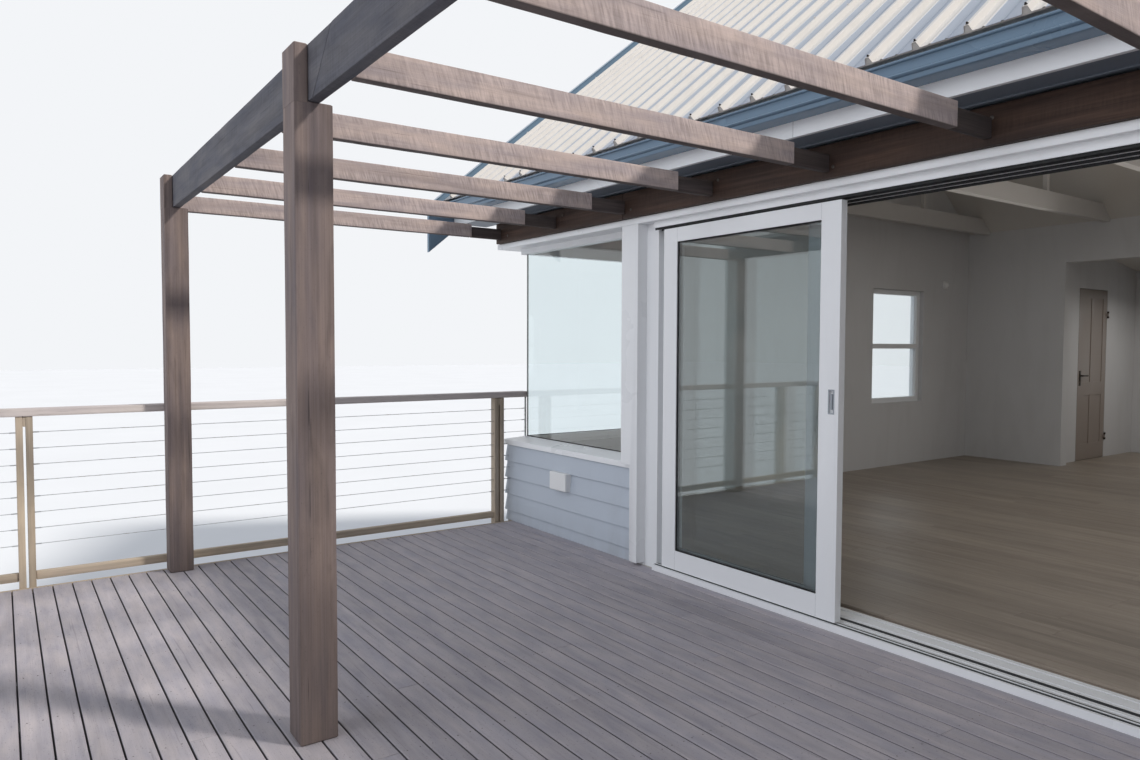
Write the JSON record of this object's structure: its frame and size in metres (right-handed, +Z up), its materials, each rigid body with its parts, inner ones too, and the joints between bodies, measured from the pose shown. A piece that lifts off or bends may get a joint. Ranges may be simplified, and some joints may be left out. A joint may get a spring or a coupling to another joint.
{
  "type": "beach house",
  "caption": "Gabled timber beach house on a raised base, with sliding glass doors, corner windows, a wide deck, wire balustrade and a pergola.",
  "frame": {"origin": "At ground level under the middle of the front wall, on the centre line of that wall.", "axes": "+X along the front wall, to the right for someone facing it from the sea. +Y from the sea side into the house. +Z up."},
  "size_m": [9.362, 13.4, 6.7588],
  "materials": {
    "plastered_base": "rough painted plaster",
    "floor_boards": "matt oiled planks",
    "light_grey_cladding": "painted lap boards, satin",
    "pale_plaster": "matt painted plaster",
    "grey_painted_door": "satin paint",
    "steel_fittings": "dull stainless",
    "painted_roof_boards": "matt paint",
    "off_white_roof_sheet": "matt coated sheet",
    "blue_grey_metal": "satin paint, dusty",
    "pale_ceiling": "matt paint",
    "white_trim": "satin paint",
    "dark_grey_soffit": "matt paint",
    "white_aluminium": "powder coat, satin",
    "clear_glass": "clear, slightly green",
    "white_plastic": "matt",
    "weathered_deck": "silver-grey, worn, finely grooved",
    "weathered_timber": "grey-brown, open grain",
    "dark_red_timber": "stained, rough sawn"
  },
  "bodies": {
    "house": {"balustrade_front": "weathered_timber", "balustrade_left": "weathered_timber", "balustrade_right": "weathered_timber", "barge_boards": "blue_grey_metal", "base_walls": "plastered_base", "ceilings": "pale_ceiling", "deck_bearers": "weathered_timber", "deck_boards": "weathered_deck", "deck_edge_boards": "weathered_timber", "deck_joists": "weathered_timber", "deck_piles": "weathered_timber", "door_frame": "white_aluminium", "end_walls": "light_grey_cladding", "fascias": "white_trim", "fixed_glass": "clear_glass", "fixed_leaves": "white_aluminium", "floor": "floor_boards", "gutters": "blue_grey_metal", "hall_door_hinges": "steel_fittings", "hall_wall_head": "pale_plaster", "hall_wall_sides": "pale_plaster", "head_trim": "white_trim", "inner_wall": "pale_plaster", "ledger": "dark_red_timber", "low_walls": "light_grey_cladding", "outlet_box": "white_plastic", "pergola_beam": "weathered_timber", "pergola_posts": "weathered_timber", "pergola_rafters": "weathered_timber", "rear_wall": "light_grey_cladding", "roof_flashings": "off_white_roof_sheet", "roof_frame": "painted_roof_boards", "roof_sheets": "off_white_roof_sheet", "sash_frames": "white_aluminium", "soffit": "dark_grey_soffit", "tie_beams": "pale_ceiling", "tie_struts": "pale_ceiling", "trim_posts": "white_trim", "upper_walls": "light_grey_cladding", "window_sills": "white_trim", "wires_front": "steel_fittings", "wires_left": "steel_fittings", "wires_right": "steel_fittings"},
    "sliding_leaf_left": {"sliding_leaf_left": "white_aluminium", "sliding_glass_left": "clear_glass"},
    "sliding_leaf_right": {"sliding_leaf_right": "white_aluminium", "sliding_glass_right": "clear_glass"},
    "hall_door": {"hall_door": "grey_painted_door"}
  },
  "joints": [
    {"name": "slide_left_leaf", "type": "slide", "parent": "house", "child": "sliding_leaf_left", "axis": [1, 0, 0], "range_m": [0, 1.13]},
    {"name": "slide_right_leaf", "type": "slide", "parent": "house", "child": "sliding_leaf_right", "axis": [-1, 0, 0], "range_m": [0, 1.13]},
    {"name": "swing_hall_door", "type": "hinge", "parent": "house", "child": "hall_door", "pos_m": [-3.092, 7.803, 2.12], "axis": [0, 0, 1], "range_deg": [0, 90]}
  ]
}
